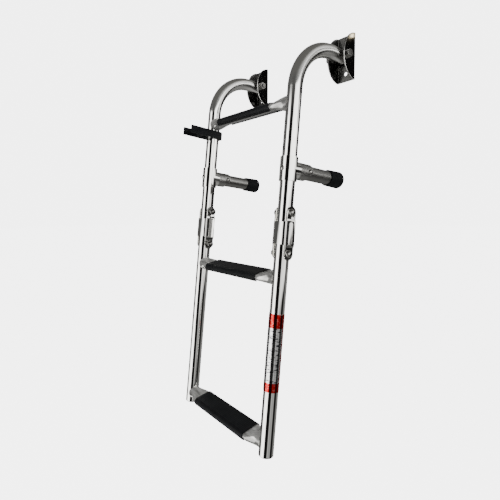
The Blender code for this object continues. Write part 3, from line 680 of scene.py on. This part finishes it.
def make_foot_plug(side):
    """A black plug with a softly domed face."""
    inner = TUBE_RADIUS - TUBE_WALL - GAP
    profile = [(0, PLUG_DEPTH), (inner - PLUG_CORNER, PLUG_DEPTH), (inner, PLUG_DEPTH - PLUG_CORNER)]
    profile += [(inner, -GAP), (PLUG_RIM, -GAP), (PLUG_RIM, -PLUG_SIDE)]
    face = -PLUG_SIDE - PLUG_LIP
    profile += [(PLUG_RIM - PLUG_LIP, face), (PLUG_CROWN_RADIUS, face - PLUG_CROWN)]
    profile += [(0, face - PLUG_CROWN - PLUG_TIP)]
    plug = lathe(f"{side}_foot_plug_visual", profile, "Z", CLIP_PLASTIC, ROUND)
    place = at(SIDES[side] * RAIL_X, -HOOK_REACH, RAIL_FOOT_Z)
    return finish_piece(plug, place, "lower_frame", [f"{side}_foot_plug"], PLASTIC)


# Steps


def half_rounds(reach, radius, turn):
    """A (y, z) outline of a rear and a front arc, each reaching turn above and below the level."""
    rear = arc((reach, 0), radius, -turn, turn, ARC_STEPS)
    return rear + arc((-reach, 0), radius, math.pi - turn, math.pi + turn, ARC_STEPS)


def step_skin(name, inset, overhang):
    """The step tube's skin, inset by a wall: flattened in the middle and round at both ends."""
    reach = (STEP_WIDTH - STEP_THICKNESS) / 2
    flat = half_rounds(reach, STEP_THICKNESS / 2 - inset, math.pi / 2)
    full = half_rounds(0, TUBE_RADIUS - inset, STEP_ROUND_TURN)
    half = []
    for i in range(BLEND_STEPS + 1):
        part = i / BLEND_STEPS
        half.append((STEP_FLAT_X + (STEP_ROUND_X - STEP_FLAT_X) * part, part * part * (3 - 2 * part)))
    half.append((RAIL_X - STEP_END_FROM_AXIS + overhang, 1))
    rings = []
    for x, share in [(-x, share) for x, share in half[::-1]] + half:
        rings.append([(x, a + (c - a) * share, b + (d - b) * share) for (a, b), (c, d) in zip(flat, full)])
    return loft(name, rings, STEP_STEEL)


def make_step(name, body):
    """A round tube, flattened between its ends, which are notched round both rails, and its ribbed
    cover."""
    place = at(0, -HOOK_REACH, STEP_HEIGHTS[name])
    tilted = place @ Matrix.Rotation(STEP_TILT, 4, "X")
    tube = step_skin(f"{name}_step_tube_visual", 0, 0)
    cut(tube, step_skin("bore", STEP_WALL, OVERRUN))
    upright = Matrix.Rotation(-STEP_TILT, 4, "X")
    for sign in SIDES.values():
        notch = rod("notch", TUBE_RADIUS + GAP, THROUGH, "Z", sides=ROUND)
        notch.data.transform(Matrix.Translation((sign * RAIL_X, 0, 0)) @ upright)
        cut(tube, notch)
    finish_piece(tube, tilted, body, [f"{name}_step_tube"], STEEL)

    inner = STEP_THICKNESS / 2 + GAP
    outer = inner + TREAD_SHEET
    reach = (STEP_WIDTH - STEP_THICKNESS) / 2
    turn = math.pi + TREAD_WRAP
    outside = arc((reach, 0), outer, -TREAD_WRAP, math.pi / 2, ARC_STEPS)
    outside += arc((-reach, 0), outer, math.pi / 2, turn, ARC_STEPS)
    inside = arc((-reach, 0), inner, turn, math.pi / 2, ARC_STEPS)
    inside += arc((reach, 0), inner, math.pi / 2, -TREAD_WRAP, ARC_STEPS)
    tread = prism(f"{name}_step_tread_visual", outside + inside, TREAD_LENGTH, "X", TREAD)
    bevel(tread, TREAD_EDGE)
    finish_piece(tread, tilted, body, [f"{name}_step_tread"], PLASTIC)


# Tee fittings and stand-offs


def make_tee(side):
    """A cast tee whose socket ends in two rounded lobes for its side bolt."""
    tee = rod(f"{side}_tee_fitting_visual", TEE_RADIUS, TEE_HEIGHT, "Z", sides=ROUND)
    reach = TEE_BOLT_Y + TEE_LOBE_RADIUS
    cut(tee, rod("socket", TEE_RADIUS, reach, "Y", (0, reach / 2, 0), ROUND), "UNION")
    cut(tee, rod("bore", TUBE_RADIUS + GAP, TEE_THROUGH, "Z", sides=ROUND))
    cut(tee, rod("bore", TUBE_RADIUS + GAP, TEE_THROUGH, "Y", (0, TEE_THROUGH / 2, 0), ROUND))
    low, high = (-TRIM_HALF, TEE_SOCKET_END, -TRIM_HALF), (TRIM_HALF, TEE_THROUGH, TRIM_HALF)
    trim = block("trim", low, high)
    cut(trim, rod("lobe", TEE_LOBE_RADIUS, TEE_THROUGH, "X", (0, TEE_BOLT_Y, 0)))
    cut(tee, trim)
    tee.data.materials.clear()
    tee.data.materials.append(TEE_STEEL)
    bevel(tee, TEE_EDGE)
    place = at(SIDES[side] * RAIL_X, -HOOK_REACH, TEE_Z)
    return finish_piece(tee, place, "upper_frame", [f"{side}_tee_fitting"], STEEL)


def dome(radius, height, base):
    """The outer side of a domed head that stands on base."""
    turns = [i * math.pi / 2 / EDGE_STEPS for i in range(EDGE_STEPS + 1)]
    return [(radius * math.sin(t), base + height * math.cos(t)) for t in turns]


def make_tee_fasteners(side):
    """The front screw with its driver recess, and the side bolt with its nut."""
    x = SIDES[side] * RAIL_X
    head = TEE_RADIUS + GAP
    profile = [*dome(TEE_SCREW_RADIUS, TEE_SCREW_HEIGHT, head), (TEE_FASTENER_RADIUS, head)]
    profile += [(TEE_FASTENER_RADIUS, TUBE_RADIUS + GAP), (0, TUBE_RADIUS + GAP)]
    screw = lathe(f"{side}_tee_screw_visual", profile, "Y", FASTENER)
    floor, top = head + TEE_CROSS_FLOOR, head + THROUGH
    half, slim = TEE_CROSS_HALF, TEE_CROSS_HALF_WIDTH
    for width, height in ((half, slim), (slim, half)):
        cut(screw, block("recess", (-width, floor, -height), (width, top, height)))
    place = at(x, -HOOK_REACH, TEE_Z) @ Matrix.Rotation(math.pi, 4, "Z")
    finish_piece(screw, place, "upper_frame", [f"{side}_tee_screw"], STEEL)

    end, radius = -head - TEE_BOLT_PAST_TEE, TEE_FASTENER_RADIUS
    profile = [*dome(TEE_HEAD_RADIUS, TEE_HEAD_HEIGHT, head), (radius, head)]
    profile += [(radius, end + TEE_BOLT_EDGE), (radius - TEE_BOLT_EDGE, end), (0, end)]
    bolt = lathe(f"{side}_tee_bolt_visual", profile, "X", FASTENER)
    place = at(x, -HOOK_REACH + TEE_BOLT_Y, TEE_Z)
    finish_piece(bolt, place, "upper_frame", [f"{side}_tee_bolt"], STEEL)
    middle = (-head - TEE_NUT_HEIGHT / 2, 0, 0)
    nut = rod(
        f"{side}_tee_nut_visual", TEE_NUT_RADIUS, TEE_NUT_HEIGHT, "X", middle, 6, TEE_NUT_EDGE, FASTENER
    )
    cut(nut, rod("bore", radius + GAP, THROUGH, "X"))
    finish_piece(nut, place, "upper_frame", [f"{side}_tee_nut"], STEEL)


def make_standoff(side):
    """The stand-off tube and its rubber cap."""
    place = at(SIDES[side] * RAIL_X, -HOOK_REACH, TEE_Z)
    path = [(STANDOFF_START, 0), (STANDOFF_END, 0)]
    tube = sweep(f"{side}_standoff_tube_visual", path, TUBE_RADIUS, CAST)
    path = [(STANDOFF_START - OVERRUN, 0), (STANDOFF_END + OVERRUN, 0)]
    cut(tube, sweep("bore", path, TUBE_RADIUS - TUBE_WALL, CAST))
    finish_piece(tube, place, "upper_frame", [f"{side}_standoff_tube"], STEEL)

    inner, end = TUBE_RADIUS + GAP, CAP_END_WALL
    mouth, corner = end - CAP_LENGTH, CAP_CORNER
    profile = [(0, end)]
    profile += arc((CAP_RADIUS - corner, end - corner), corner, math.pi / 2, 0, EDGE_STEPS)
    rim = CAP_RADIUS - CAP_TAPER
    profile += [(rim, mouth + CAP_LIP), (rim - CAP_LIP, mouth)]
    profile += [(inner, mouth), (inner, GAP), (0, GAP)]
    cap = lathe(f"{side}_standoff_cap_visual", profile, "Y", CAP_RUBBER, ROUND)
    cap.data.transform(Matrix.Translation((0, STANDOFF_END, 0)))
    finish_piece(cap, place, "upper_frame", [f"{side}_standoff_cap"], RUBBER)


# Hinge links


def groove_tool(face, sign, floor_turn):
    """The tool for the long oval pressed into an ear's outer face: its front flank slopes gently,
    its rear flank is steep and its floor can turn a little to the front."""
    rings = []
    for depth, inset in GROOVE_STEPS:
        radius = GROOVE_RADIUS + GROOVE_FLANK * (1 - inset)
        back = GROOVE_BACK + GROOVE_SHIFT * (inset - 1)
        outline = arc((back, GROOVE_HALF), radius, 0, math.pi, CORNER_STEPS)
        outline += arc((back, -GROOVE_HALF), radius, math.pi, 2 * math.pi, CORNER_STEPS)
        ring = []
        for y, z in outline:
            floor = GROOVE_DEPTH - floor_turn * (y - GROOVE_BACK)
            sunk = depth * floor if depth > 0 else depth
            ring.append((face - sign * sunk, y, z - LINK_LENGTH / 2))
        rings.append(ring)
    return loft("groove", rings, PRESSED)


def spring_ends(body, half):
    """Turns the ears' ends slightly, as a press leaves them: their rear edges go in."""
    bm = bmesh.new()
    bm.from_mesh(body.data)
    reach = LINK_LENGTH / 2 - GROOVE_HALF - GROOVE_RADIUS - GROOVE_FLANK - LINK_SHEET / 2
    for end, inward in ((0.0, -1), (-LINK_LENGTH, 1)):
        for share in (1.0, 1.0 - END_EASE):
            level = end + inward * reach * share
            everything = [*bm.verts, *bm.edges, *bm.faces]
            bmesh.ops.bisect_plane(bm, geom=everything, plane_co=(0, 0, level), plane_no=(0, 0, 1))
    start = LINK_CORNER - half
    for vert in bm.verts:
        from_end = min(abs(vert.co.z), abs(vert.co.z + LINK_LENGTH))
        outside = vert.co.z > 0 or vert.co.z < -LINK_LENGTH
        share = 1.0 if outside else min(max((reach - from_end) / (END_EASE * reach), 0.0), 1.0)
        if abs(abs(vert.co.x) - half) < TOUCHING and vert.co.y > start:
            shift = share * END_TURN * (vert.co.y - start)
            vert.co.x -= math.copysign(shift, vert.co.x)
    bm.to_mesh(body.data)
    bm.free()


def flatten_plates(body):
    """Shades the ears' flat parts flat, with sharp edges between them."""
    bm = bmesh.new()
    bm.from_mesh(body.data)
    for edge in bm.edges:
        if all(abs(face.normal.x) > FLAT_NORMAL for face in edge.link_faces):
            edge.smooth = False
    bm.to_mesh(body.data)
    bm.free()


def make_link(side):
    """A pressed channel with a crowned saddle in front, and ears with a long oval pressed in."""
    half, corner = LINK_OUTSIDE / 2, LINK_CORNER
    rear = 2 * LINK_EAR_RADIUS

    def channel(inset):
        reach, turn = half - inset, corner - inset
        right = arc((reach - turn, turn - reach), turn, 0, -math.pi / 2, CORNER_STEPS)
        left = arc((turn - reach, turn - reach), turn, -math.pi / 2, -math.pi, CORNER_STEPS)
        return [(reach, rear), *right, *left, (-reach, rear)]

    crown = [(half * a, corner * b + corner - half) for a, b in arc((0, 0), 1, 0, -math.pi, BEND_STEPS)]
    outline = [(half, rear), *crown, (-half, rear)] + channel(LINK_SHEET)[::-1]
    middle = -LINK_LENGTH / 2
    body = prism(f"{side}_hinge_link_visual", outline, LINK_LENGTH + 3 * LINK_EAR_RADIUS, "Z", PRESSED)
    body.data.transform(Matrix.Translation((0, -PIVOT_BACK, middle)))
    ears = hull_outline([(0, 0, LINK_EAR_RADIUS), (0, -LINK_LENGTH, LINK_EAR_RADIUS)])
    kept = prism("ears", ears, LINK_THROUGH, "X", PRESSED)
    front, knee = -half - PIVOT_BACK - LINK_SHEET, -half - PIVOT_BACK + SADDLE_KNEE
    rise, flare = SADDLE_HEIGHT / 2, SADDLE_FLARE
    flared = [(front, middle - rise), (knee, middle - rise), (0, middle - rise - flare)]
    flared += [(0, middle + rise + flare), (knee, middle + rise), (front, middle + rise)]
    cut(kept, prism("saddle", flared, LINK_THROUGH, "X", PRESSED), "UNION")
    cut(body, kept, "INTERSECT")
    for z in (0, -LINK_LENGTH):
        cut(body, rod("hole", BOLT_RADIUS + GAP, LINK_BORE, "X", (0, 0, z)))
    for sign in SIDES.values():
        cut(body, groove_tool(sign * half, sign, GROOVE_TURN if sign == SIDES[side] else 0.0))
    spring_ends(body, half)
    apply_modifiers(bevel(body, LINK_EDGE))
    body.data.set_sharp_from_angle(angle=LINK_SMOOTH_TURN)
    flatten_plates(body)
    place = at(SIDES[side] * RAIL_X, PIVOT_BACK - HOOK_REACH, UPPER_PIVOT_Z)
    return finish_piece(body, place, "hinge_links", [f"{side}_hinge_link"], STEEL)


def make_pivot_fasteners(side):
    """The domed pivot bolts, with a driver recess, and their domed nuts."""
    grip = LINK_OUTSIDE / 2 + GAP
    bolt_end = grip + NUT_HEIGHT - NUT_END_WALL
    for name, z in (("upper", UPPER_PIVOT_Z), ("lower", LOWER_PIVOT_Z)):
        rightward = at(SIDES[side] * RAIL_X, PIVOT_BACK - HOOK_REACH, z)
        leftward = rightward @ Matrix.Rotation(math.pi, 4, "Z")
        outward, inward = (rightward, leftward) if side == "right" else (leftward, rightward)
        profile = [*dome(DOME_RADIUS, DOME_HEIGHT, grip), (BOLT_RADIUS, grip)]
        profile += [(BOLT_RADIUS, -bolt_end), (0, -bolt_end)]
        bolt = lathe(f"{side}_{name}_pivot_bolt_visual", profile, "X", FASTENER)
        middle = grip + DOME_HEIGHT - RECESS_DEPTH + RECESS_LENGTH / 2
        cut(bolt, rod("recess", RECESS_RADIUS, RECESS_LENGTH, "X", (middle, 0, 0), 6))
        finish_piece(bolt, outward, "hinge_links", [f"{side}_{name}_pivot_bolt"], STEEL)
        bore, floor = BOLT_RADIUS + GAP, bolt_end + GAP
        profile = [*dome(DOME_RADIUS, DOME_HEIGHT, grip + CAP_NUT_SKIRT), (DOME_RADIUS, grip)]
        profile += [(bore, grip), (bore, floor), (0, floor)]
        nut = lathe(f"{side}_{name}_pivot_nut_visual", profile, "X", NUT_STEEL)
        finish_piece(nut, inward, "hinge_links", [f"{side}_{name}_pivot_nut"], STEEL)


# Folding clip and label


def make_clip():
    """The clip's plastic block: rounded edges, a bore for its rail, open jaws and a ribbed web."""
    half, cham = CLIP_HALF_WIDTH, CLIP_CHAMFER
    outline = [(half, -CLIP_TIP), (half, CLIP_BACK - cham), (half - cham, CLIP_BACK)]
    outline += [(cham - half, CLIP_BACK), (-half, CLIP_BACK - cham), (-half, -CLIP_TIP)]
    clip = prism("folding_clip_visual", outline, CLIP_HEIGHT, "Z", CLIP_PLASTIC)
    cut(clip, rod("bore", TUBE_RADIUS + GAP, CLIP_THROUGH, "Z", sides=ROUND))
    cut(clip, rod("seat", CLIP_SLOT_RADIUS, CLIP_THROUGH, "Z", (0, -CLIP_SLOT_Y, 0), ROUND))
    width = CLIP_SLOT_RADIUS
    cut(clip, block("slot", (-width, -THROUGH, -TRIM_HALF), (width, -CLIP_SLOT_Y, TRIM_HALF)))
    rear, front = -TUBE_RADIUS - CLIP_RIB, CLIP_SLOT_RADIUS + CLIP_RIB - CLIP_SLOT_Y
    for sign in SIDES.values():
        low, high = sorted((sign * CLIP_RIB / 2, sign * CLIP_WINDOW_X))
        cut(clip, block("window", (low, front, -TRIM_HALF), (high, rear, TRIM_HALF)))
    bevel(clip, CLIP_EDGE)
    return finish_piece(clip, at(-RAIL_X, -HOOK_REACH, CLIP_Z), "upper_frame", ["folding_clip"], PLASTIC)


def make_label():
    """A thin film round the front of the right lower rail."""
    start = -math.pi / 2 - LABEL_ARC / 2
    inner = TUBE_RADIUS + GAP
    outline = arc((0, 0), inner + LABEL_FILM, start, start + LABEL_ARC, LABEL_STEPS)
    outline += arc((0, 0), inner, start + LABEL_ARC, start, LABEL_STEPS)
    label = prism("rail_label_visual", outline, LABEL_TOP_Z - LABEL_BOTTOM_Z, "Z", LABEL)
    middle = (LABEL_TOP_Z + LABEL_BOTTOM_Z) / 2
    label.matrix_world = at(RAIL_X, -HOOK_REACH, middle)  # its print is drawn about its own centre
    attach(label, "lower_frame")
    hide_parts("rail_label")
    return label


# Stage


# What polished steel mirrors: rings of tall white panels with dark gaps, anticlockwise from above,
# as (degrees from +X, grey), for directions below, level with, a little and far above the horizon
RING_BELOW = (
    (-180, 0.16), (-155, 0.07), (-136, 0.06), (-130, 3.6), (-95, 4.2), (-84, 3.0), (-78, 0.02),
    (-60, 0.004), (-37, 0.012), (-31, 0.6), (-14, 0.32), (7, 0.45), (13, 0.03), (18, 0.008),
    (40, 0.010), (52, 0.13), (64, 0.26), (95, 0.22), (130, 0.20), (180, 0.16),
)
RING_LEVEL = (
    (-180, 0.14), (-152, 0.11), (-131, 0.10), (-124, 3.8), (-98, 4.4), (-89, 2.8), (-82, 0.015),
    (-58, 0.004), (-38, 0.010), (-31, 1.4), (0, 1.6), (20, 1.8), (27, 2.2), (30.5, 2.0), (32, 0.28),
    (38, 0.18), (44, 0.03), (62, 0.008), (92, 0.03), (112, 0.14), (150, 0.18), (180, 0.14),
)
RING_RAISED = (
    (-180, 0.14), (-152, 0.11), (-123, 0.08), (-116, 3.6), (-98, 4.5), (-89, 2.8), (-81, 0.015),
    (-58, 0.004), (-38, 0.010), (-30, 3.4), (0, 3.9), (32, 3.9), (48, 2.6), (57, 0.8), (63, 0.02),
    (98, 0.03), (112, 0.15), (150, 0.18), (180, 0.14),
)
RING_ABOVE = (
    (-180, 0.12), (-120, 0.12), (-60, 0.10), (-30, 0.20), (0, 0.45), (30, 0.75), (48, 0.9), (62, 0.6),
    (80, 0.26), (110, 0.20), (150, 0.16), (180, 0.12),
)
# Cards in front of the rings: a grey one that tones down the hooks, then two black ones that darken
# the bracket ears, as (degrees from, to, sine of elevation from, to, width of the edges, grey)
CARDS = (
    (26.0, 60.0, 0.30, 0.52, 0.05, 1.25),
    (46.0, 60.0, 0.26, 0.42, 0.012, 0.004),
    (35.5, 46.0, 0.21, 0.35, 0.012, 0.004),
)
CEILING = (0.13, 0.128, 0.12)
UNDERSIDE = (0.34, 0.34, 0.33)
# Where each ring, the ceiling and the underside take over from what is before, as sines of elevation
TAKE_OVER = ((-0.20, -0.12), (0.04, 0.13), (0.37, 0.48), (0.6, 0.85), (-0.6, -0.85))
BACKDROP = 5.0  # nearly white in the picture
FLOOR_GLOW = 4.35  # with the light that falls on it, as white as the backdrop
SOFT_FILL = 0.8  # what matte surfaces receive from all around
# The lights, as (name, place, watts, size, colour, whether polished steel mirrors it)
LIGHTS = (
    ("key", (-0.9, -1.9, 1.3), 30.0, 1.6, (1.0, 1.0, 1.0), False),
    ("lamp", (1.694, 2.056, 1.108), 0.008, 0.026, (1.0, 0.86, 0.6), True),
)
LIT_PLACE = Vector((0, -0.12, -0.3))
FLOOR_Z = -1.6
FLOOR_SIZE = 30.0
CAMERA_PLACE = (0.5895, -0.6079, -0.2769)
CAMERA_AHEAD = Vector((-0.7810, 0.6214, -0.0616))
CAMERA_LENS = 28.09
CAMERA_SHIFT = (0.0038, -0.0354)


def fill_ramp(ramp, stops):
    """Sets a colour ramp from (degrees, grey) stops over a full turn."""
    while len(ramp.elements) > 1:
        ramp.elements.remove(ramp.elements[-1])
    for i, (degrees, grey) in enumerate(stops):
        spot = (degrees + 180) / 360
        element = ramp.elements[0] if i == 0 else ramp.elements.new(spot)
        element.position = spot
        element.color = (grey, 0.995 * grey, 0.97 * grey, 1.0)


def between(tree, value, low, high):
    """0 below low and 1 above high, smoothly."""
    inputs = {"Value": value, "From Min": low, "From Max": high}
    return add(tree, "ShaderNodeMapRange", inputs, interpolation_type="SMOOTHSTEP").outputs["Result"]


def soft_band(tree, value, low, high, edge):
    """1 between low and high, with soft edges, else 0."""
    rise = between(tree, value, low - edge, low + edge)
    fall = between(tree, value, high + edge, high - edge)
    return calc(tree, "MULTIPLY", rise, fall)


def make_world():
    """Soft studio surroundings: a white backdrop, rings of panels that polished steel mirrors, and
    an even fill for matte surfaces."""
    world = bpy.data.worlds.new("studio")
    bpy.context.scene.world = world
    world.use_nodes = True
    tree = world.node_tree
    tree.nodes.clear()
    direction = add(tree, "ShaderNodeTexCoord").outputs["Generated"]
    parts = add(tree, "ShaderNodeSeparateXYZ", {0: direction}).outputs
    turn, height = calc(tree, "ARCTAN2", parts["Y"], parts["X"]), parts["Z"]
    around = spread(tree, turn, 0.0, 1.0, -math.pi, math.pi)
    rings = []
    for stops in (RING_BELOW, RING_LEVEL, RING_RAISED, RING_ABOVE):
        ramp = add(tree, "ShaderNodeValToRGB", {"Fac": around})
        fill_ramp(ramp.color_ramp, stops)
        rings.append(ramp.outputs["Color"])
    mirrored = rings[0]
    for layer, (low, high) in zip((*rings[1:], CEILING, UNDERSIDE), TAKE_OVER):
        mirrored = mix_colours(tree, between(tree, height, low, high), mirrored, layer)
    for first, last, foot, top, edge, grey in CARDS:
        width = soft_band(tree, turn, math.radians(first), math.radians(last), edge)
        mask = calc(tree, "MULTIPLY", width, soft_band(tree, height, foot, top, edge))
        mirrored = mix_colours(tree, mask, mirrored, (grey,) * 3)
    rays = add(tree, "ShaderNodeLightPath")
    filled = mix_colours(tree, rays.outputs["Is Diffuse Ray"], mirrored, (SOFT_FILL,) * 3)
    seen = mix_colours(tree, rays.outputs["Is Camera Ray"], filled, (BACKDROP,) * 3)
    light = add(tree, "ShaderNodeBackground", {"Color": seen, "Strength": 1.0})
    output = add(tree, "ShaderNodeOutputWorld")
    tree.links.new(light.outputs[0], output.inputs[0])


def make_lights():
    """A large soft key light in front, and a small warm lamp that glints on the polished steel."""
    for name, place, watts, size, colour, mirrored in LIGHTS:
        data = bpy.data.lights.new(name, "AREA")
        data.shape = "SQUARE"
        data.size = size
        data.energy = watts
        data.color = colour
        light = bpy.data.objects.new(name, data)
        bpy.context.scene.collection.objects.link(light)
        light.location = place
        light.rotation_mode = "QUATERNION"
        light.rotation_quaternion = (LIT_PLACE - light.location).to_track_quat("-Z", "Y")
        light.visible_camera = False
        light.visible_glossy = mirrored


def make_floor():
    """A plain pale floor well below the hanging ladder, as white as the backdrop."""
    material, tree, shader, coords = new_material("studio_floor")
    cloud = noise(tree, coords, scale=1.5, detail=3.0)
    tint = mix_colours(tree, spread(tree, cloud, 0.0, 1.0), (0.93, 0.93, 0.925), (0.90, 0.90, 0.895))
    tree.links.new(tint, shader.inputs["Base Color"])
    shader.inputs["Roughness"].default_value = 0.9
    shader.inputs["Emission Color"].default_value = (1.0, 1.0, 1.0, 1.0)
    shader.inputs["Emission Strength"].default_value = FLOOR_GLOW
    bm = bmesh.new()
    bmesh.ops.create_grid(bm, x_segments=8, y_segments=8, size=FLOOR_SIZE)
    floor = link("studio_floor", bm, material)
    floor.location = (0, 0, FLOOR_Z)
    floor.visible_diffuse = False
    floor.visible_glossy = False


def make_camera():
    """The camera: below the brackets, in front and to the right, looking slightly down."""
    data = bpy.data.cameras.new("camera")
    data.sensor_width = 36.0
    data.lens = CAMERA_LENS
    data.shift_x, data.shift_y = CAMERA_SHIFT
    data.clip_start = 0.01
    data.clip_end = 100.0
    camera = bpy.data.objects.new("camera", data)
    bpy.context.scene.collection.objects.link(camera)
    camera.location = CAMERA_PLACE
    camera.rotation_mode = "QUATERNION"
    camera.rotation_quaternion = CAMERA_AHEAD.to_track_quat("-Z", "Y")
    bpy.context.scene.camera = camera


def build():
    """Makes every piece and the stage."""
    for side in SIDES:
        make_bracket(side)
        make_swing_bolt(side)
        make_upper_rail(side)
        make_tee(side)
        make_tee_fasteners(side)
        make_standoff(side)
        make_link(side)
        make_pivot_fasteners(side)
        make_lower_rail(side)
        make_foot_plug(side)
    make_step("top", "upper_frame")
    make_step("middle", "lower_frame")
    make_step("bottom", "lower_frame")
    make_clip()
    make_label()
    make_world()
    make_lights()
    make_floor()
    make_camera()


build()
bpy.context.view_layer.update()
